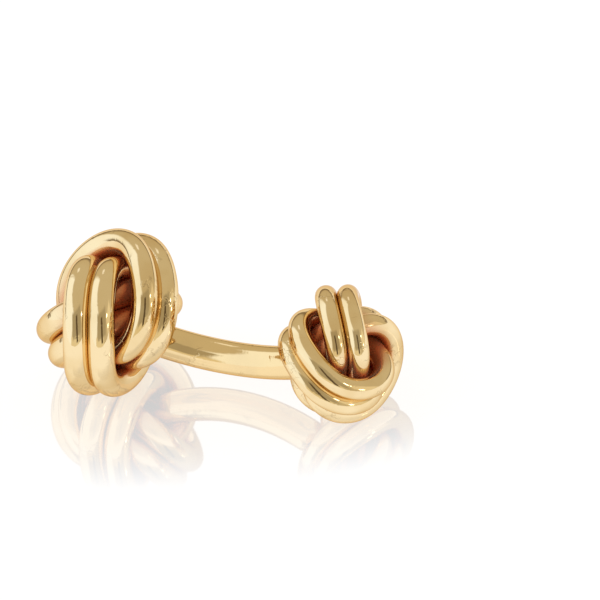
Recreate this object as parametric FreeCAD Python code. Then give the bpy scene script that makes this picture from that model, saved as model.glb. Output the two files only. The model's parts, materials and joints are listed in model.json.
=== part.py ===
"""Double knot cufflink: two knots of linked double rings on a curved bar."""

import FreeCAD
import Part
import math
import os
from collections import namedtuple
from FreeCAD import Placement, Rotation, Vector

# Wire of the knots, in millimetres
large_strand_diameter = 2.15
small_strand_diameter = 1.73
pair_gap = 0.06
crossing_clearance = 0.02

# Form of every ring: a bent oval in a leaning plane, slid off the axis of its knot
ring_lean_deg = 37.0
ring_height_over_width = 1.085
ring_slide_over_half_width = 0.374
ring_egg_over_half_width = 0.039
ring_flat_side_over_half_width = 0.031
ring_flat_end_over_half_width = 0.022
ring_wave_over_half_width = 0.084

# Bar between the knots
bar_diameter = 2.8
bar_bend_radius = 15.18
bar_bend_deg = 46.5
bar_end_past_throat = 0.7
seat_clearance = 0.02

# Turn of each knot about its own axis, and its lean from the end of the bar: up and sideways
large_knot_turn_deg = 199.0
large_knot_tilt_deg = 9.7
large_knot_swing_deg = -6.9
small_knot_turn_deg = 15.8
small_knot_tilt_deg = 5.0
small_knot_swing_deg = 10.7

# Attitude in which the cufflink lies
lying_roll_deg = 21.21
lying_pitch_deg = -2.41

X_AXIS = Vector(1, 0, 0)
Y_AXIS = Vector(0, 1, 0)
Z_AXIS = Vector(0, 0, 1)
RINGS_IN_KNOT = 3
PAIR_SIDES = {"outer": 1, "inner": -1}
STATIONS_IN_RING = 6
WIDEST_RING_IN_STRANDS = 6
FIT_TOLERANCE = 0.001

Arc = namedtuple("Arc", "start tangent centre axis angle_deg")


def ring_station(half_width, turn):
    """Point of a ring's centre line and its direction there, as three harmonics of the turn."""
    harmonics = [
        Vector(1, ring_height_over_width, 0),
        Vector(0, -ring_egg_over_half_width, -ring_wave_over_half_width),
        Vector(-ring_flat_side_over_half_width, -ring_flat_end_over_half_width, 0),
    ]
    point = Vector()
    tangent = Vector()
    for order, size in enumerate(harmonics, start=1):
        cosine = math.cos(order * turn)
        sine = math.sin(order * turn)
        point += Vector(size.x * cosine, size.y * sine, size.z * sine)
        tangent += Vector(-size.x * sine, size.y * cosine, size.z * cosine) * order
    return point * half_width, tangent.normalize()


def tangent_arc(start, tangent, end):
    """Arc that leaves a point in a direction and ends at another point."""
    chord = end - start
    inward = (chord - tangent * chord.dot(tangent)).normalize()
    radius = chord.dot(chord) / (2 * chord.dot(inward))
    angle = 2 * math.atan2(chord.dot(inward), chord.dot(tangent))
    return Arc(start, tangent, start + inward * radius, tangent.cross(inward), math.degrees(angle))


def tangent_arcs(start, leaving, end, arriving):
    """Two arcs that join two points smoothly, each with its own direction at its point."""
    chord = end - start
    along = chord.dot(leaving + arriving)
    spread = 2 * (1 - leaving.dot(arriving))
    handle = (math.sqrt(along * along + spread * chord.dot(chord)) - along) / spread
    before = start + leaving * handle
    after = end - arriving * handle
    joint = (before + after) * 0.5
    return [
        tangent_arc(start, leaving, joint),
        tangent_arc(joint, (after - before).normalize(), end),
    ]


def ring_arcs(half_width):
    """Tangent arcs that follow the centre line of a ring."""
    turns = [2 * math.pi * station / STATIONS_IN_RING for station in range(STATIONS_IN_RING)]
    stations = [ring_station(half_width, turn) for turn in turns]
    arcs = []
    for here, there in zip(stations, stations[1:] + stations[:1]):
        arcs.extend(tangent_arcs(*here, *there))
    return arcs


def centre_line(half_width):
    """Closed wire along the centre of a ring."""
    edges = []
    for arc in ring_arcs(half_width):
        edges.append(Part.Vertex(arc.start).revolve(arc.centre, arc.axis, arc.angle_deg))
    return Part.Wire(edges)


def wire_ring(half_width, strand_radius):
    """Solid ring: a round section turned along each arc of the centre line."""
    lengths = []
    for arc in ring_arcs(half_width):
        edge = Part.makeCircle(strand_radius, arc.start, arc.tangent)
        section = Part.Face(Part.Wire(edge))
        lengths.append(section.revolve(arc.centre, arc.axis, arc.angle_deg))
    return lengths[0].multiFuse(lengths[1:])


class Knot:
    """Three linked pairs of rings around an axis that points away from the bar."""

    def __init__(self, name, strand_diameter, turn_deg, tilt_deg, swing_deg):
        self.name = name
        self.turn = Rotation(Z_AXIS, turn_deg)
        self.lean = Rotation(Y_AXIS, tilt_deg) * Rotation(Z_AXIS, swing_deg)
        self.strand_diameter = strand_diameter
        self.strand_radius = strand_diameter / 2
        self.half_pitch = (strand_diameter + pair_gap) / 2
        self.half_width = self.tightest_half_width()
        self.bar_side_line = self.placed_line(self.half_width, 0, PAIR_SIDES["inner"])

    def ring_place(self, half_width, ring, side):
        """Place of one ring in the frame of its knot."""
        around = Placement(Vector(), Rotation(Z_AXIS, ring * 360 / RINGS_IN_KNOT))
        slide = Vector(half_width * ring_slide_over_half_width, 0, 0)
        leaning = Placement(slide, Rotation(X_AXIS, ring_lean_deg))
        beside = Placement(Vector(0, 0, side * self.half_pitch), Rotation())
        return around * leaning * beside

    def placed_line(self, half_width, ring, side):
        line = centre_line(half_width)
        line.Placement = self.ring_place(half_width, ring, side)
        return line

    def crossing_distance(self, half_width):
        """Least distance between the centre lines of two linked pairs."""
        first = [self.placed_line(half_width, 0, side) for side in PAIR_SIDES.values()]
        second = [self.placed_line(half_width, 1, side) for side in PAIR_SIDES.values()]
        return min(a.distToShape(b)[0] for a in first for b in second)

    def tightest_half_width(self):
        """Smallest ring whose linked pairs still pass each other, found by halving."""
        wanted = self.strand_diameter + crossing_clearance
        low = self.strand_diameter
        high = WIDEST_RING_IN_STRANDS * self.strand_diameter
        while high - low > FIT_TOLERANCE:
            middle = (low + high) / 2
            if self.crossing_distance(middle) < wanted:
                low = middle
            else:
                high = middle
        return high

    def reach(self):
        """Distance from the knot's centre to its outermost strands along its axis."""
        return self.strand_radius - self.bar_side_line.optimalBoundingBox(False, False).ZMin

    def throat(self):
        """Radius and depth of the three-sided hole where the bar goes in."""
        axis = Part.makeLine(Vector(), Vector(0, 0, -self.reach()))
        distance, points, _ = axis.distToShape(self.bar_side_line)
        on_axis = points[0][0]
        return distance - self.strand_radius, -on_axis.z

    def place(self, end_place):
        """Place of the knot beyond one end of the bar, leaning from it."""
        turned = self.lean * end_place.Rotation
        return Placement(end_place.Base + turned.multVec(Z_AXIS * self.reach()), turned)

    def rings(self, end_place):
        """Named ring solids, put where the knot is."""
        shapes = {}
        place = self.place(end_place)
        ring_solid = wire_ring(self.half_width, self.strand_radius)
        for ring in range(RINGS_IN_KNOT):
            for side_name, side in PAIR_SIDES.items():
                solid = ring_solid.copy()
                solid.Placement = place * self.ring_place(self.half_width, ring, side)
                shapes[f"{self.name}_ring_{ring + 1}_{side_name}"] = solid
        return shapes

    def bar_end(self, end_place):
        """End of the bar inside the knot: a flare from the end of the arc, then a seat in the throat."""
        throat_radius, throat_depth = self.throat()
        seat_radius = throat_radius - seat_clearance
        place = self.place(end_place)
        shoulder = Vector(0, 0, self.strand_radius - self.reach())
        tip = Vector(0, 0, bar_end_past_throat - throat_depth)
        arc_rim = Part.makeCircle(bar_diameter / 2)
        arc_rim.Placement = end_place
        seat_rim = Part.makeCircle(seat_radius, shoulder)
        seat_rim.Placement = place
        flare = Part.makeLoft([Part.Wire(arc_rim), Part.Wire(seat_rim)], True, True)
        seat = Part.makeCylinder(seat_radius, (tip - shoulder).Length, shoulder)
        seat.Placement = place
        return [flare, seat]


def end_place(knot, sign):
    """Place of one end of the bar's arc, facing out of it and turned as its knot is."""
    half_bend = math.radians(bar_bend_deg / 2)
    arc_end = Vector(
        sign * bar_bend_radius * math.sin(half_bend),
        0,
        bar_bend_radius * (1 - math.cos(half_bend)),
    )
    outward = Vector(sign * math.cos(half_bend), 0, math.sin(half_bend))
    facing = Rotation(Y_AXIS, outward.cross(Y_AXIS), outward, "ZXY")
    return Placement(arc_end, facing * knot.turn)


def curved_bar():
    """Round bar bent in the XZ plane, lowest at the origin."""
    half_bend = bar_bend_deg / 2
    bend_centre = Vector(0, 0, bar_bend_radius)
    start = Rotation(Y_AXIS, half_bend)
    section_centre = bend_centre + start.multVec(Vector(0, 0, -bar_bend_radius))
    edge = Part.makeCircle(bar_diameter / 2, section_centre, start.multVec(X_AXIS))
    section = Part.Face(Part.Wire(edge))
    return section.revolve(bend_centre, Y_AXIS, -bar_bend_deg)


def lying_place(shapes):
    """Place that lays the cufflink on the ground plane, centred on the origin."""
    lying = Placement(
        Vector(), Rotation(X_AXIS, lying_roll_deg) * Rotation(Y_AXIS, lying_pitch_deg)
    )
    laid = []
    for shape in shapes:
        copy = shape.copy()
        copy.Placement = lying * copy.Placement
        laid.append(copy)
    box = Part.makeCompound(laid).optimalBoundingBox(False, False)
    lift = Vector(-box.Center.x, -box.Center.y, -box.ZMin)
    return Placement(lift, Rotation()) * lying


def build():
    large = Knot(
        "large", large_strand_diameter, large_knot_turn_deg, large_knot_tilt_deg, large_knot_swing_deg
    )
    small = Knot(
        "small", small_strand_diameter, small_knot_turn_deg, small_knot_tilt_deg, small_knot_swing_deg
    )
    large_end = end_place(large, -1)
    small_end = end_place(small, 1)
    shapes = large.rings(large_end)
    shapes.update(small.rings(small_end))
    shapes["bar"] = curved_bar().multiFuse(large.bar_end(large_end) + small.bar_end(small_end))
    lying = lying_place(shapes.values())
    os.makedirs("parts", exist_ok=True)
    for node, shape in shapes.items():
        shape.Placement = lying * shape.Placement
        shape.exportStep(f"parts/{node}.step")
    return shapes


build()
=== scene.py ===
"""Polished gold finish, studio and camera for a cufflink of two ring knots on a curved bar."""

import json
import math
from collections import namedtuple

import bpy
import numpy as np
from bpy.props import FloatProperty, FloatVectorProperty, IntProperty, PointerProperty
from bpy.types import Operator, Panel, PropertyGroup
from mathutils import Matrix, Vector


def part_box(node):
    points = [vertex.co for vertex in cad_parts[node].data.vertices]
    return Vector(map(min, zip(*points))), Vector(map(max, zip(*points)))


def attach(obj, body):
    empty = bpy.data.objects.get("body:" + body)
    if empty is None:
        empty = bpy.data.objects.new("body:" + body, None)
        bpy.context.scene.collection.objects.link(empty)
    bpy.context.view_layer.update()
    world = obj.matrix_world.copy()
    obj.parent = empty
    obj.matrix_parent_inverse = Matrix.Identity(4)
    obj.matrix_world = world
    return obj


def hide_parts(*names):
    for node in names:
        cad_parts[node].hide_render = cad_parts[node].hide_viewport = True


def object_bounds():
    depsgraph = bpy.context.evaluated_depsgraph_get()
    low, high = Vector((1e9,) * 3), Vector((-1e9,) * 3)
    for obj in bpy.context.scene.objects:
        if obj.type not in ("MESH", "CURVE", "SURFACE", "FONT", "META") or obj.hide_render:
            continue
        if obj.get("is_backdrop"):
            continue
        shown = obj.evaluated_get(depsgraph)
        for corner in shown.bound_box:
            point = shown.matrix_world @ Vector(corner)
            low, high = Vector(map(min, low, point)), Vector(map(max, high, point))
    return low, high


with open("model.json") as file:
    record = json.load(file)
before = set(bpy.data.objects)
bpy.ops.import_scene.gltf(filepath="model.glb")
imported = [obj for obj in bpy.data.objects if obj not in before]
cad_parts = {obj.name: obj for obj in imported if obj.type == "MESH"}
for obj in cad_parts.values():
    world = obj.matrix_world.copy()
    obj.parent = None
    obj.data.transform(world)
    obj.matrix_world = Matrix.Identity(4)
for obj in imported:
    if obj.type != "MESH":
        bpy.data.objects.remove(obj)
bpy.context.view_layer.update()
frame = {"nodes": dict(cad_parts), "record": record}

bl_info = {
    "name": "Double knot cufflink",
    "version": (1, 0, 0),
    "blender": (4, 5, 0),
    "location": "3D View > Sidebar > Cufflink",
    "description": "Models and finishes a gold cufflink of two ring knots joined by a curved bar",
    "category": "Object",
}

BODY = "root"
PAIRS = (1, 2, 3)
RECESS = "recess"
MM = 0.001
MERGE_DISTANCE = 0.001 * MM
SECTION_TOLERANCE = 10 * MERGE_DISTANCE
SMOOTH_ANGLE = math.radians(35)
WHITE = (1.0, 1.0, 1.0)
PHOTO_SIDE_PX = 600
CAMERA_REACH = 10
LARGE_STRAND = 2.15 * MM
SMALL_STRAND = 1.73 * MM

# Harmonics of a ring's centre line across, along and off its plane, in half widths of the ring
RING_HARMONICS = ((1.0, 1.085, 0.0), (0.0, -0.039, -0.084), (-0.031, -0.022, 0.0))
RING_STATIONS = 24

# Painted shade, red-brown and matt, in grooves, by how squarely they face the paired ring, and in hollows,
# by their distance from the knot's centre in strand radii, less for surfaces that face the centre; rougher
# there too
GROOVE_EDGES = (0.80, 1.0)
GROOVE_SHARE = 0.05
HOLLOW_EDGES = (3.2, 5.2)
HOLLOW_FACING = 2
RECESS_MATT = 0.5
RECESS_ROUGHNESS = 0.2

# Spacing and limits of the patterns in the gold
CLOUD_SPACING = 3.1 * MM
CLOUD_EDGES = (0.40, 0.70)
HANDLING_SPACING = 1.3 * MM
HANDLING_ROUGHNESS = 0.65
HANDLING_EDGES = (0.45, 0.75)
SCRATCHED_SPACING = 2.3 * MM
SCRATCHED_EDGES = (0.56, 0.64)
DENT_EDGES = (0.60, 0.72)
DRAWN_STRETCH = 0.02
DRAWN_ROUGHNESS = 0.6
NOISE_MIDDLE = 0.5

# Floor and soft light of the studio
FLOOR_SIDES = 96
FLOOR_GLOSS_COLOUR = (1.0, 0.95, 0.89)
FLOOR_GLOSS_ROUGHNESS = 0.05
SOFT_LIGHT = 0.75

# Cloth of the light tent and its panels, with angles and soft edges in degrees
TentPanel = namedtuple("TentPanel", "azimuth elevation half_width half_height edge shade")
TENT_CLOTH = (0.62, 0.55, 0.40)
TENT_PANELS = {
    "white_left": TentPanel(-66, 14, 50, 46, 5, (1.07, 1.14, 1.22)),
    "pale_right": TentPanel(95, 14, 17, 14, 3, (0.86, 0.78, 0.59)),
    "pale_front": TentPanel(14, 3, 32, 10, 3, (0.82, 0.74, 0.54)),
    "dim_front": TentPanel(30, 37, 36, 22, 4, (0.44, 0.39, 0.28)),
    "dark_front": TentPanel(32, 27, 7, 23, 2, (0.12, 0.09, 0.055)),
    "dim_back": TentPanel(205, 2, 75, 5, 4, (0.28, 0.23, 0.17)),
    "white_back": TentPanel(205.2, 41.6, 5, 5, 2, WHITE),
}

# Square lamps, with angles in degrees and the rest in metres and watts
Lamp = namedtuple("Lamp", "azimuth elevation distance size power mirrored")
LAMPS = {
    "hot_lamp_high": Lamp(84, 30, 0.4, 0.035, 0.018, True),
    "hot_lamp_low": Lamp(86, 10, 0.4, 0.035, 0.018, True),
    "soft_key": Lamp(-56, 55, 0.5, 0.3, 0.6, False),
}


# What the frame says about the pieces

class RingForm:
    """Centre, directions and width of one ring, read from its CAD node."""

    def __init__(self, node, knot_axis, normal, strand_radius):
        across = knot_axis.cross(normal).normalized()
        turn = Matrix((across, normal.cross(across), normal))
        places = np.array([turn @ vertex.co for vertex in frame["nodes"][node].data.vertices])
        low, high = places.min(axis=0), places.max(axis=0)
        self.node = node
        self.turn = turn.transposed()
        self.centre = self.turn @ Vector((low + high) / 2)
        widest = RING_HARMONICS[0][0] + RING_HARMONICS[2][0]
        self.half_width = ((high - low)[0] / 2 - strand_radius) / widest

    def place(self):
        return Matrix.Translation(self.centre) @ self.turn.to_4x4()


class KnotForm:
    """Three pairs of rings of one knot, its centre, and its axis pointing away from the bar."""

    def __init__(self, knot, strand_diameter):
        self.strand_radius = strand_diameter / 2
        nodes = [[f"{knot}_ring_{pair}_{side}" for side in ("outer", "inner")] for pair in PAIRS]
        normals = [(box_middle(outer) - box_middle(inner)).normalized() for outer, inner in nodes]
        self.axis = sum(normals, Vector()).normalized()
        self.pairs = []
        for pair, normal in zip(nodes, normals):
            self.pairs.append([RingForm(node, self.axis, normal, self.strand_radius) for node in pair])
        rings = [ring for pair in self.pairs for ring in pair]
        self.centre = sum((ring.centre for ring in rings), Vector()) / len(rings)
        points = [vertex.co for ring in rings for vertex in frame["nodes"][ring.node].data.vertices]
        lowest = min((point - self.centre).dot(self.axis) for point in points)
        self.mouth = self.centre + self.axis * lowest


def box_middle(node):
    low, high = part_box(node)
    return (low + high) / 2


class BarForm:
    """Arc of the bar, through its middle and the mouths of both knots, and its ends inside them."""

    def __init__(self, large, small):
        mount = frame["record"]["mounts"][0]
        self.radius = mount["dims"]["r_mm"] * MM
        self.middle = Vector(mount["pos_m"])
        to_large = large.mouth - self.middle
        to_small = small.mouth - self.middle
        across = to_large.cross(to_small)
        lengths = to_small * to_large.length_squared - to_large * to_small.length_squared
        self.bend_centre = self.middle + lengths.cross(across) / (2 * across.length_squared)
        self.bend_axis = across.normalized()
        self.bend = (large.mouth - self.bend_centre).angle(small.mouth - self.bend_centre)
        self.ends = [self.end(large), self.end(small)]

    def end(self, knot):
        """Where the arc ends, and the seat beyond it that fills the throat of a knot."""
        places = [vertex.co - knot.centre for vertex in frame["nodes"]["bar"].data.vertices]
        tip = max(place.dot(knot.axis) for place in places)
        at_tip = [place for place in places if tip - place.dot(knot.axis) < knot.strand_radius / 2]
        seat = max((place - knot.axis * place.dot(knot.axis)).length for place in at_tip)
        return {
            "mouth": knot.mouth,
            "tangent": self.bend_axis.cross(knot.mouth - self.bend_centre).normalized(),
            "axis": knot.axis,
            "seat_radius": seat,
            "shoulder": knot.mouth + knot.axis * knot.strand_radius,
            "tip": knot.centre + knot.axis * tip,
        }


LARGE = KnotForm("large", LARGE_STRAND)
SMALL = KnotForm("small", SMALL_STRAND)
BAR = BarForm(LARGE, SMALL)


# Sizes and colours that a user would change

class CufflinkForm(PropertyGroup):
    large_strand: FloatProperty(
        name="Large strand", description="Diameter of the wire of the large knot",
        default=LARGE_STRAND, unit="LENGTH", precision=5)
    small_strand: FloatProperty(
        name="Small strand", description="Diameter of the wire of the small knot",
        default=SMALL_STRAND, unit="LENGTH", precision=5)
    bar_diameter: FloatProperty(
        name="Bar", description="Diameter of the curved bar",
        default=2 * BAR.radius, unit="LENGTH", precision=5)
    solder: FloatProperty(
        name="Solder", description="Thickness that solder adds to the wire, so that paired rings touch",
        default=0.03 * MM, unit="LENGTH", precision=6)
    strand_sides: IntProperty(
        name="Strand sides", description="Sides of the round section of a ring", default=56)
    arc_steps: IntProperty(
        name="Arc steps", description="Steps along each arc of a ring", default=3)
    bar_sides: IntProperty(
        name="Bar sides", description="Sides of the round section of the bar", default=80)
    bar_steps: IntProperty(
        name="Bar steps", description="Steps along the bend of the bar", default=48)


class CufflinkFinish(PropertyGroup):
    gold: FloatVectorProperty(
        name="Gold", description="Colour of the polished gold", subtype="COLOR",
        default=(0.92, 0.735, 0.44))
    deep_gold: FloatVectorProperty(
        name="Deep gold", description="Warmer tone in the faint clouds of the gold", subtype="COLOR",
        default=(0.85, 0.645, 0.35))
    # Red-brown painted shade in the grooves and hollows of the knots
    recess_shade: FloatVectorProperty(
        name="Recess gold", description="Red-brown tone where the buff does not reach", subtype="COLOR",
        default=(0.66, 0.18, 0.055))
    bar_gold: FloatVectorProperty(
        name="Bar gold", description="Colour of the drawn gold of the bar", subtype="COLOR",
        default=(0.91, 0.69, 0.37))
    rim_gold: FloatVectorProperty(
        name="Rim gold", description="Tone of the gold where it is seen edge on", subtype="COLOR",
        default=(0.78, 0.60, 0.41))
    polish: FloatProperty(
        name="Polish", description="Roughness of the buffed surface", default=0.05, subtype="FACTOR")
    haze: FloatProperty(
        name="Haze", description="Roughness added where handling has dulled the polish",
        default=0.05, subtype="FACTOR")
    wave_height: FloatProperty(
        name="Wave height", description="Height of the hand-polished waves",
        default=0.020 * MM, unit="LENGTH", precision=6)
    wave_length: FloatProperty(
        name="Wave length", description="Distance between the hand-polished waves",
        default=1.7 * MM, unit="LENGTH", precision=5)
    dent_depth: FloatProperty(
        name="Dent depth", description="Depth of the small dents as a share of the waves",
        default=0.2, subtype="FACTOR")
    dent_spacing: FloatProperty(
        name="Dent spacing", description="Distance between the small dents",
        default=0.8 * MM, unit="LENGTH", precision=5)
    scratch_depth: FloatProperty(
        name="Scratch depth", description="Depth of the scratches as a share of the waves",
        default=0.4, subtype="FACTOR")
    grime_colour: FloatVectorProperty(
        name="Grime colour", description="Tone of the grime in the scratches", subtype="COLOR",
        default=(0.30, 0.19, 0.09))
    grime: FloatProperty(
        name="Grime", description="Share of grime in the scratches", default=0.3, subtype="FACTOR")
    scratch_spacing: FloatProperty(
        name="Scratch spacing", description="Distance between the scratches",
        default=0.9 * MM, unit="LENGTH", precision=5)
    scratch_width: FloatProperty(
        name="Scratch width", description="Width of a scratch as a share of the spacing",
        default=0.035, subtype="FACTOR")
    line_height: FloatProperty(
        name="Line height", description="Height of the drawn lines along the bar",
        default=0.002 * MM, unit="LENGTH", precision=6)
    line_spacing: FloatProperty(
        name="Line spacing", description="Distance between the drawn lines along the bar",
        default=0.12 * MM, unit="LENGTH", precision=5)


class CufflinkStudio(PropertyGroup):
    floor_radius: FloatProperty(
        name="Floor", description="Radius of the floor", default=0.5, unit="LENGTH")
    floor_colour: FloatVectorProperty(
        name="Floor colour", description="Colour of the floor", subtype="COLOR",
        default=(0.12, 0.12, 0.12))
    floor_lift: FloatProperty(
        name="Floor lift", description="Light that the floor itself gives to the camera and the gold",
        default=0.94)
    floor_gloss: FloatProperty(
        name="Floor gloss", description="Share of the floor that mirrors under the cufflink",
        default=0.38, subtype="FACTOR")
    gloss_middle: FloatProperty(
        name="Gloss middle", description="Distance in front of the cufflink where the floor mirrors most",
        default=1 * MM, unit="LENGTH", precision=5)
    gloss_depth: FloatProperty(
        name="Gloss depth", description="Distance from there, to the front, where the mirroring ends",
        default=12 * MM, unit="LENGTH", precision=5)
    gloss_width: FloatProperty(
        name="Gloss width", description="Distance from there, to the side, where the mirroring ends",
        default=34 * MM, unit="LENGTH", precision=5)
    azimuth: FloatProperty(
        name="Azimuth", description="Camera's turn to the right of straight ahead",
        default=math.radians(25.2), subtype="ANGLE")
    elevation: FloatProperty(
        name="Elevation", description="Camera's height above the floor as an angle",
        default=math.radians(41.6), subtype="ANGLE")
    roll: FloatProperty(
        name="Roll", description="Camera's roll", default=math.radians(-7.65), subtype="ANGLE")
    distance: FloatProperty(
        name="Distance", description="Distance from the camera to the cufflink",
        default=0.6, unit="LENGTH")
    pixels_per_mm: FloatProperty(
        name="Scale", description="Pixels of the photograph to a millimetre of the cufflink",
        default=12.15)
    bar_pixel: FloatVectorProperty(
        name="Bar pixel", description="Pixel of the photograph where the middle of the bar lies",
        default=(236.4, 358.8), size=2)


# Shader sums

class Value:
    """A socket's number, for sums written as Python expressions."""

    def __init__(self, sheet, socket):
        self.sheet = sheet
        self.socket = socket

    def beside(self, output):
        """Another output of the same node."""
        return Value(self.sheet, self.socket.node.outputs[output])

    def sum_with(self, operation, first, second):
        inputs = {0: first, 1: second}
        return self.sheet.add("ShaderNodeMath", {"operation": operation}, inputs, "Value")

    def __add__(self, other):
        return self.sum_with("ADD", self, other)

    def __radd__(self, other):
        return self.sum_with("ADD", other, self)

    def __sub__(self, other):
        return self.sum_with("SUBTRACT", self, other)

    def __rsub__(self, other):
        return self.sum_with("SUBTRACT", other, self)

    def __mul__(self, other):
        return self.sum_with("MULTIPLY", self, other)

    def __rmul__(self, other):
        return self.sum_with("MULTIPLY", other, self)

    def __pow__(self, power):
        return self.sum_with("POWER", self, power)


class Sheet:
    """Node tree of a material or the world, filled one node at a time."""

    def __init__(self, owner):
        owner.use_nodes = True
        self.tree = owner.node_tree
        self.tree.nodes.clear()

    def add(self, kind, settings=None, inputs=None, output=None):
        """New node with its settings, then its sockets. Gives the named output as a Value."""
        node = self.tree.nodes.new(kind)
        for name, setting in (settings or {}).items():
            setattr(node, name, setting)
        for name, value in (inputs or {}).items():
            if isinstance(value, Value):
                self.tree.links.new(value.socket, node.inputs[name])
            else:
                node.inputs[name].default_value = value
        return Value(self, node.outputs[output or 0]) if node.outputs else None

    def object_point(self):
        return self.add("ShaderNodeTexCoord", output="Object")

    def mix(self, factor, first, second):
        """Colour between two colours."""
        inputs = {"Factor": factor, 6: first, 7: second}
        return self.add("ShaderNodeMix", {"data_type": "RGBA"}, inputs, 2)

    def noise(self, vector, scale, detail, roughness=0.5):
        inputs = {"Vector": vector, "Scale": scale, "Detail": detail, "Roughness": roughness}
        return self.add("ShaderNodeTexNoise", {}, inputs, "Fac")

    def step(self, value, low, high):
        """0 below low and 1 above high, smooth between."""
        inputs = {"Value": value, "From Min": low, "From Max": high}
        return self.add("ShaderNodeMapRange", {"interpolation_type": "SMOOTHSTEP"}, inputs, "Result")

    def size(self, value):
        """A number without its sign."""
        return self.add("ShaderNodeMath", {"operation": "ABSOLUTE"}, {0: value}, "Value")


def colour(rgb):
    return (*rgb, 1.0)


# Finishes

def gold_surface(sheet, finish, gold, metallic, roughness, normal=None):
    """Polished gold with patches of dulled polish and fine scratches."""
    lines = scratches(sheet, finish)
    shader = sheet.add("ShaderNodeBsdfPrincipled", {}, {
        "Base Color": sheet.mix(lines * finish.grime, gold, colour(finish.grime_colour)),
        "Metallic": metallic,
        "Specular Tint": colour(finish.rim_gold),
        "Roughness": roughness + handling(sheet) * finish.haze,
        "Normal": hand_polish(sheet, finish, lines, normal),
    })
    sheet.add("ShaderNodeOutputMaterial", {}, {"Surface": shader})


def clouded(sheet, gold, deep_gold):
    """Gold that turns to a warmer tone in faint clouds."""
    clouds = sheet.noise(sheet.object_point(), 1 / CLOUD_SPACING, 2)
    return sheet.mix(sheet.step(clouds, *CLOUD_EDGES), colour(gold), colour(deep_gold))


def handling(sheet):
    """Patches where handling has dulled the polish."""
    dulled = sheet.noise(sheet.object_point(), 1 / HANDLING_SPACING, 4, HANDLING_ROUGHNESS)
    return sheet.step(dulled, *HANDLING_EDGES)


def scratches(sheet, finish):
    """Fine lines that wear has left in a few patches."""
    field = sheet.noise(sheet.object_point(), 1 / finish.scratch_spacing, 2)
    lines = 1 - sheet.step(sheet.size(field - NOISE_MIDDLE), 0.0, finish.scratch_width)
    patches = sheet.noise(sheet.object_point(), 1 / SCRATCHED_SPACING, 1)
    return lines * sheet.step(patches, *SCRATCHED_EDGES)


def hand_polish(sheet, finish, lines, normal):
    """Bump of the slow waves that buffing by hand leaves, of small dents and of scratches."""
    waves = sheet.noise(sheet.object_point(), 1 / finish.wave_length, 3)
    dents = sheet.step(sheet.noise(sheet.object_point(), 1 / finish.dent_spacing, 2), *DENT_EDGES)
    worn = dents * finish.dent_depth + lines * finish.scratch_depth
    inputs = {"Strength": 1.0, "Distance": finish.wave_height, "Height": waves - worn}
    if normal:
        inputs["Normal"] = normal
    return sheet.add("ShaderNodeBump", {}, inputs, "Normal")


def ring_gold(finish):
    """Gold with red-brown, matt painted shade in its grooves and hollows, and rougher there."""
    material = bpy.data.materials.new("ring_gold")
    sheet = Sheet(material)
    recess = sheet.add("ShaderNodeAttribute", {"attribute_name": RECESS}, output="Fac")
    # The recess mask paints shade: red-brown, less metallic and rougher in the grooves and hollows
    gold = sheet.mix(recess, clouded(sheet, finish.gold, finish.deep_gold), colour(finish.recess_shade))
    metallic = 1 - recess * RECESS_MATT
    gold_surface(sheet, finish, gold, metallic, finish.polish + recess * RECESS_ROUGHNESS)
    return material


def bar_gold(finish):
    """Gold with faint drawn lines that follow the bend of the bar."""
    material = bpy.data.materials.new("bar_gold")
    sheet = Sheet(material)
    side = BAR.bend_axis
    outward = (BAR.middle - BAR.bend_centre).normalized()
    bend_frame = Matrix((outward, side.cross(outward), side)).transposed()
    # The point is turned into the frame of the bend, whose Z runs along the axis of the bend.
    turned = sheet.add("ShaderNodeMapping", {"vector_type": "TEXTURE"}, {
        "Vector": sheet.object_point(),
        "Location": BAR.bend_centre,
        "Rotation": bend_frame.to_euler(),
    })
    across = sheet.add("ShaderNodeSeparateXYZ", {}, {"Vector": turned}, "X")
    along = across.beside("Y")
    beside = across.beside("Z")
    from_centre = (across ** 2 + along ** 2) ** 0.5
    lines_at = sheet.add("ShaderNodeCombineXYZ", {}, {
        "X": from_centre, "Y": beside, "Z": along * DRAWN_STRETCH,
    })
    lines = sheet.noise(lines_at, 1 / finish.line_spacing, 3, DRAWN_ROUGHNESS)
    drawn = sheet.add("ShaderNodeBump", {}, {
        "Strength": 1.0, "Distance": finish.line_height, "Height": lines,
    }, "Normal")
    gold = clouded(sheet, finish.bar_gold, finish.deep_gold)
    gold_surface(sheet, finish, gold, 1.0, finish.polish, drawn)
    return material


# Modelling helpers

def start_mesh(name, add_primitive, **settings):
    """Adds a primitive, selected alone, with its place in its mesh."""
    bpy.ops.object.select_all(action="DESELECT")
    add_primitive(**settings)
    piece = bpy.context.object
    piece.name = name
    piece.data.name = name
    bpy.ops.object.transform_apply(location=True, rotation=True, scale=True)
    return piece


def select_sections(piece, sections):
    """Selects the vertices of each section that lies across a direction at a centre."""
    bpy.ops.mesh.select_mode(type="VERT")
    bpy.ops.mesh.select_all(action="DESELECT")
    bpy.ops.object.mode_set(mode="OBJECT")
    for vertex in piece.data.vertices:
        offsets = [abs((vertex.co - centre).dot(direction)) for centre, direction in sections]
        vertex.select = min(offsets) < SECTION_TOLERANCE
    bpy.ops.object.mode_set(mode="EDIT")


def facing(direction):
    """Turn of a primitive whose axis points in a direction."""
    return direction.to_track_quat("Z", "Y").to_euler()


def close_mesh(piece):
    """Merges doubles, turns the faces outwards and smooths the shading."""
    bpy.ops.object.mode_set(mode="EDIT")
    bpy.ops.mesh.select_all(action="SELECT")
    bpy.ops.mesh.remove_doubles(threshold=MERGE_DISTANCE)
    bpy.ops.mesh.normals_make_consistent(inside=False)
    bpy.ops.object.mode_set(mode="OBJECT")
    bpy.ops.object.select_all(action="DESELECT")
    piece.select_set(True)
    bpy.ops.object.shade_smooth_by_angle(angle=SMOOTH_ANGLE)


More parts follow.
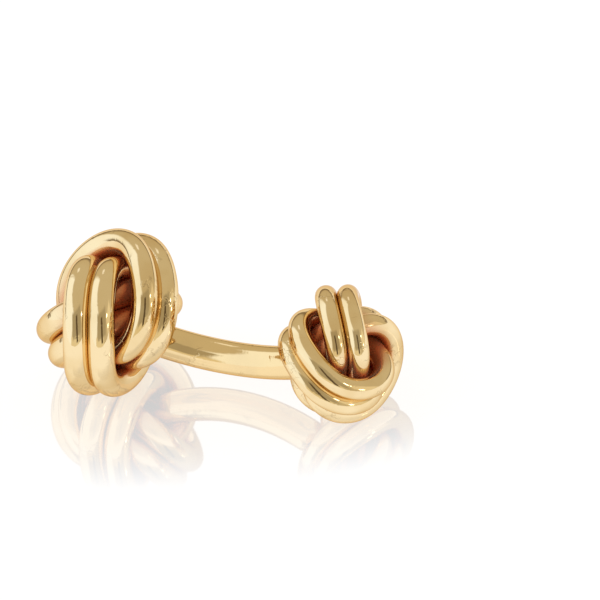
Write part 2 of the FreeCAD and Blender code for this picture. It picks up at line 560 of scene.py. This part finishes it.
def hand_over(piece, node, material):
    """Gives a finished piece its material and its body, and hides the node that it stands for."""
    piece.data.materials.clear()
    piece.data.materials.append(material)
    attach(piece, BODY)
    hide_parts(node)


def material_named(name, maker, finish):
    return bpy.data.materials.get(name) or maker(finish)


# Pieces

def ring_station(half_width, turn):
    """Point of a ring's centre line and its direction there."""
    point = Vector()
    tangent = Vector()
    for order, (across, along, off) in enumerate(RING_HARMONICS, start=1):
        cosine = math.cos(order * turn)
        sine = math.sin(order * turn)
        point += Vector((across * cosine, along * sine, off * sine))
        tangent += Vector((-across * sine, along * cosine, off * cosine)) * order
    return point * half_width, tangent.normalized()


def ring_arcs(half_width):
    """Start, direction and end of each tangent arc along a ring, two between neighbouring stations."""
    turns = [math.tau * station / RING_STATIONS for station in range(RING_STATIONS)]
    stations = [ring_station(half_width, turn) for turn in turns]
    arcs = []
    for (start, leaving), (end, arriving) in zip(stations, stations[1:] + stations[:1]):
        chord = end - start
        along = chord.dot(leaving + arriving)
        spread = 2 * (1 - leaving.dot(arriving))
        handle = (math.sqrt(along * along + spread * chord.length_squared) - along) / spread
        before = start + leaving * handle
        after = end - arriving * handle
        joint = (before + after) / 2
        arcs.append((start, leaving, joint))
        arcs.append((joint, (after - before).normalized(), end))
    return arcs


def spin_along(arc, steps, taken):
    """Spins the selected section along an arc, which is cut in steps, as many steps as are taken."""
    start, tangent, end = arc
    chord = end - start
    inward = (chord - tangent * chord.dot(tangent)).normalized()
    radius = chord.length_squared / (2 * chord.dot(inward))
    angle = 2 * math.atan2(chord.dot(inward), chord.dot(tangent))
    bpy.ops.mesh.spin(
        steps=taken, angle=angle * taken / steps, center=start + inward * radius,
        axis=inward.cross(tangent))


def model_ring(name, half_width, strand_radius, form):
    """Bent oval ring: a round section spun along tangent arcs, then bridged to its start."""
    arcs = ring_arcs(half_width)
    start, tangent, _ = arcs[0]
    piece = start_mesh(
        name, bpy.ops.mesh.primitive_circle_add, vertices=form.strand_sides, radius=strand_radius,
        location=start, rotation=facing(tangent),
    )
    bpy.ops.object.mode_set(mode="EDIT")
    bpy.ops.mesh.select_all(action="SELECT")
    for arc in arcs[:-1]:
        spin_along(arc, form.arc_steps, form.arc_steps)
    spin_along(arcs[-1], form.arc_steps, form.arc_steps - 1)
    bpy.ops.mesh.select_all(action="DESELECT")
    bpy.ops.mesh.select_non_manifold()
    bpy.ops.mesh.bridge_edge_loops()
    bpy.ops.object.mode_set(mode="OBJECT")
    close_mesh(piece)
    return piece


def mark_recess(piece, ring, partner, knot):
    """Stores how deep each point lies in the painted shade: in the pair's groove or the hollow."""
    count = len(piece.data.vertices)
    points = np.empty(3 * count)
    normals = np.empty(3 * count)
    piece.data.vertices.foreach_get("co", points)
    piece.data.vertices.foreach_get("normal", normals)
    points = points.reshape(-1, 3) - knot.centre
    normals = normals.reshape(-1, 3)
    distance = np.linalg.norm(points, axis=1)
    inward = -(points * normals).sum(axis=1) / distance
    groove = smooth(normals @ (partner.centre - ring.centre).normalized(), *GROOVE_EDGES)
    depth = distance / knot.strand_radius - HOLLOW_FACING * np.maximum(inward, 0)
    hollow = 1 - smooth(depth, *HOLLOW_EDGES)
    recess = piece.data.attributes.new(RECESS, "FLOAT", "POINT")
    recess.data.foreach_set("value", np.maximum(GROOVE_SHARE * groove, hollow))


def smooth(value, low, high):
    """0 below low and 1 above high, smooth between."""
    part = np.clip((value - low) / (high - low), 0, 1)
    return part * part * (3 - 2 * part)


def place_rings(knot, strand_diameter, settings):
    """Models the ring of a knot once and puts a copy at each ring's place."""
    gold = material_named("ring_gold", ring_gold, settings.finish)
    strand_radius = strand_diameter / 2 + settings.form.solder
    pattern = model_ring("ring", knot.pairs[0][0].half_width, strand_radius, settings.form)
    for outer, inner in knot.pairs:
        for ring, partner in ((outer, inner), (inner, outer)):
            bpy.ops.object.select_all(action="DESELECT")
            pattern.select_set(True)
            bpy.context.view_layer.objects.active = pattern
            bpy.ops.object.duplicate(linked=False)
            piece = bpy.context.object
            piece.name = f"{ring.node}_polished"
            piece.data.name = piece.name
            piece.matrix_world = ring.place()
            bpy.ops.object.transform_apply(location=True, rotation=True, scale=True)
            mark_recess(piece, ring, partner, knot)
            hand_over(piece, ring.node, gold)
    bpy.data.objects.remove(pattern)


class CUFFLINK_OT_large_knot(Operator):
    """Model the six linked rings of the large knot"""
    bl_idname = "cufflink.large_knot"
    bl_label = "Large knot"

    def execute(self, context):
        settings = context.scene.cufflink
        place_rings(LARGE, settings.form.large_strand, settings)
        return {"FINISHED"}


class CUFFLINK_OT_small_knot(Operator):
    """Model the six linked rings of the small knot"""
    bl_idname = "cufflink.small_knot"
    bl_label = "Small knot"

    def execute(self, context):
        settings = context.scene.cufflink
        place_rings(SMALL, settings.form.small_strand, settings)
        return {"FINISHED"}


class CUFFLINK_OT_bar(Operator):
    """Model the curved bar with its flared ends"""
    bl_idname = "cufflink.bar"
    bl_label = "Bar"

    def execute(self, context):
        settings = context.scene.cufflink
        form = settings.form
        first = BAR.ends[0]
        piece = start_mesh(
            "bar_polished", bpy.ops.mesh.primitive_circle_add, vertices=form.bar_sides,
            radius=form.bar_diameter / 2, location=first["mouth"], rotation=facing(first["tangent"]),
        )
        bpy.ops.object.mode_set(mode="EDIT")
        bpy.ops.mesh.select_all(action="SELECT")
        bpy.ops.mesh.spin(
            steps=form.bar_steps, angle=BAR.bend, center=BAR.bend_centre, axis=BAR.bend_axis)
        for end in BAR.ends:
            self.flare(piece, end, form.bar_sides)
        bpy.ops.object.mode_set(mode="OBJECT")
        close_mesh(piece)
        hand_over(piece, "bar", material_named("bar_gold", bar_gold, settings.finish))
        return {"FINISHED"}

    def flare(self, piece, end, sides):
        """Adds the seat in a knot, closes its tip and bridges it to the end of the arc."""
        bpy.ops.mesh.primitive_circle_add(
            vertices=sides, radius=end["seat_radius"], location=end["shoulder"],
            rotation=facing(end["axis"]))
        bpy.ops.mesh.extrude_region_move(
            TRANSFORM_OT_translate={"value": end["tip"] - end["shoulder"]})
        bpy.ops.mesh.edge_face_add()
        select_sections(piece, [(end["mouth"], end["tangent"]), (end["shoulder"], end["axis"])])
        bpy.ops.mesh.bridge_edge_loops()


# Studio

def floor_material(studio):
    """Pale gloss floor, lifted to white for the camera and the gold, with a shadow and faint mirroring."""
    material = bpy.data.materials.new("studio_floor")
    sheet = Sheet(material)
    matt = sheet.add("ShaderNodeBsdfDiffuse", {}, {"Color": colour(studio.floor_colour)})
    lift = sheet.add("ShaderNodeEmission", {}, {
        "Color": colour(WHITE), "Strength": seen(sheet) * studio.floor_lift,
    })
    white = sheet.add("ShaderNodeAddShader", {}, {0: matt, 1: lift})
    gloss = sheet.add("ShaderNodeBsdfGlossy", {}, {
        "Color": colour(FLOOR_GLOSS_COLOUR), "Roughness": FLOOR_GLOSS_ROUGHNESS,
    })
    right = camera_turn(studio) @ Vector((1, 0, 0))
    sideways = dot(sheet, sheet.object_point(), Vector((right.x, right.y, 0)).normalized())
    in_front = dot(sheet, sheet.object_point(), Vector((right.y, -right.x, 0)).normalized())
    across = sideways * (1 / studio.gloss_width)
    along = (in_front - studio.gloss_middle) * (1 / studio.gloss_depth)
    mirrored = (1 - sheet.step(across ** 2 + along ** 2, 0.0, 1.0)) * studio.floor_gloss
    both = sheet.add("ShaderNodeMixShader", {}, {0: mirrored, 1: white, 2: gloss})
    sheet.add("ShaderNodeOutputMaterial", {}, {"Surface": both})
    return material


def seen(sheet):
    """1 for rays from the camera and for rays that metal or glass sends on."""
    camera = sheet.add("ShaderNodeLightPath", output="Is Camera Ray")
    return camera + camera.beside("Is Glossy Ray") + camera.beside("Is Transmission Ray")


def turn_to(azimuth, elevation):
    """Turn of the front to an azimuth and an elevation, in degrees."""
    around = Matrix.Rotation(math.radians(azimuth), 3, "Z")
    return around @ Matrix.Rotation(math.radians(-elevation), 3, "X")


def tent_colour(sheet, direction):
    """Brightness of the tent in each direction: dim cloth with white and dark panels."""
    shade = colour(TENT_CLOTH)
    for panel in TENT_PANELS.values():
        turn = turn_to(panel.azimuth, panel.elevation)
        right, front, up = (turn @ Vector(axis) for axis in ((1, 0, 0), (0, -1, 0), (0, 0, 1)))
        across, depth, height = (dot(sheet, direction, axis) for axis in (right, front, up))
        sideways = sheet.add("ShaderNodeMath", {"operation": "ARCTAN2"}, {0: across, 1: depth}, "Value")
        upward = sheet.add("ShaderNodeMath", {"operation": "ARCSINE"}, {0: height}, "Value")
        within_width = inside(sheet, sideways, panel.half_width, panel.edge)
        within_height = inside(sheet, upward, panel.half_height, panel.edge)
        shade = sheet.mix(within_width * within_height, shade, colour(panel.shade))
    return shade


def dot(sheet, vector, axis):
    inputs = {0: vector, 1: axis}
    return sheet.add("ShaderNodeVectorMath", {"operation": "DOT_PRODUCT"}, inputs, "Value")


def inside(sheet, angle, half_size, edge):
    """1 where an angle is within half a size, with a soft edge, all in degrees."""
    edges = math.radians(half_size - edge), math.radians(half_size + edge)
    return 1 - sheet.step(sheet.size(angle), *edges)


def light_tent(scene):
    """World: white to the camera, the panelled tent to metal, plain soft light to the rest."""
    scene.world = bpy.data.worlds.new("light_tent")
    sheet = Sheet(scene.world)
    direction = sheet.add("ShaderNodeTexCoord", output="Generated")
    glossy = sheet.add("ShaderNodeLightPath", output="Is Glossy Ray")
    shade = sheet.mix(glossy, colour(WHITE), tent_colour(sheet, direction))
    strength = SOFT_LIGHT + seen(sheet) * (1 - SOFT_LIGHT)
    back = sheet.add("ShaderNodeBackground", {}, {"Color": shade, "Strength": strength})
    sheet.add("ShaderNodeOutputWorld", {}, {"Surface": back})


def add_lamp(name, lamp):
    """Square lamp that faces the cufflink, seen in the gold or not."""
    towards = turn_to(lamp.azimuth, lamp.elevation) @ Vector((0, -1, 0))
    light = bpy.data.lights.new(name, "AREA")
    light.shape = "SQUARE"
    light.size = lamp.size
    light.energy = lamp.power
    holder = bpy.data.objects.new(name, light)
    holder.location = towards * lamp.distance
    holder.rotation_euler = facing(towards)
    holder.visible_camera = False
    holder.visible_glossy = lamp.mirrored
    bpy.context.scene.collection.objects.link(holder)


def camera_turn(studio):
    return (
        Matrix.Rotation(studio.azimuth, 3, "Z")
        @ Matrix.Rotation(math.pi / 2 - studio.elevation, 3, "X")
        @ Matrix.Rotation(studio.roll, 3, "Z")
    )


def add_camera(scene, studio):
    """Camera at the photograph's angle, aimed so that the bar lies on its pixel."""
    turn = camera_turn(studio)
    right, up, back = (turn @ Vector(axis) for axis in ((1, 0, 0), (0, 1, 0), (0, 0, 1)))
    half_side = PHOTO_SIDE_PX / 2
    metres_per_pixel = MM / studio.pixels_per_mm
    target = (
        BAR.middle
        + right * (half_side - studio.bar_pixel[0]) * metres_per_pixel
        - up * (half_side - studio.bar_pixel[1]) * metres_per_pixel
    )
    data = bpy.data.cameras.new("photo_camera")
    data.lens = data.sensor_width * studio.distance / (PHOTO_SIDE_PX * metres_per_pixel)
    data.clip_end = CAMERA_REACH
    camera = bpy.data.objects.new("photo_camera", data)
    camera.matrix_world = Matrix.Translation(target + back * studio.distance) @ turn.to_4x4()
    scene.collection.objects.link(camera)
    scene.camera = camera


class CUFFLINK_OT_studio(Operator):
    """Set up the floor, the light tent, the lamps and the camera"""
    bl_idname = "cufflink.studio"
    bl_label = "Studio"

    def execute(self, context):
        scene = context.scene
        studio = scene.cufflink.studio
        floor = start_mesh(
            "studio_floor", bpy.ops.mesh.primitive_circle_add, vertices=FLOOR_SIDES,
            radius=studio.floor_radius, fill_type="NGON", location=(0, 0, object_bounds()[0][2]),
        )
        floor.data.materials.append(floor_material(studio))
        floor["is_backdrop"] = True
        light_tent(scene)
        for name, lamp in LAMPS.items():
            add_lamp(name, lamp)
        add_camera(scene, studio)
        scene.view_settings.view_transform = "Standard"
        return {"FINISHED"}


class CufflinkSettings(PropertyGroup):
    form: PointerProperty(type=CufflinkForm, name="Form", description="Sizes of the pieces")
    finish: PointerProperty(type=CufflinkFinish, name="Finish", description="Polish of the gold")
    studio: PointerProperty(type=CufflinkStudio, name="Studio", description="Floor and camera")


class CUFFLINK_PT_sidebar(Panel):
    """Steps and settings of the cufflink"""
    bl_idname = "CUFFLINK_PT_sidebar"
    bl_label = "Cufflink"
    bl_space_type = "VIEW_3D"
    bl_region_type = "UI"
    bl_category = "Cufflink"

    def draw(self, context):
        settings = context.scene.cufflink
        for operator in OPERATORS:
            self.layout.operator(operator.bl_idname)
        for group in (settings.form, settings.finish, settings.studio):
            box = self.layout.box()
            for name in group.__annotations__:
                box.prop(group, name)


OPERATORS = (CUFFLINK_OT_large_knot, CUFFLINK_OT_small_knot, CUFFLINK_OT_bar, CUFFLINK_OT_studio)
GROUPS = (CufflinkForm, CufflinkFinish, CufflinkStudio, CufflinkSettings)


def register():
    for item in (*GROUPS, *OPERATORS, CUFFLINK_PT_sidebar):
        bpy.utils.register_class(item)
    bpy.types.Scene.cufflink = PointerProperty(type=CufflinkSettings)


def unregister():
    del bpy.types.Scene.cufflink
    for item in reversed((*GROUPS, *OPERATORS, CUFFLINK_PT_sidebar)):
        bpy.utils.unregister_class(item)


def main():
    register()
    bpy.ops.cufflink.large_knot()
    bpy.ops.cufflink.small_knot()
    bpy.ops.cufflink.bar()
    bpy.ops.cufflink.studio()


if __name__ == "__main__":
    main()
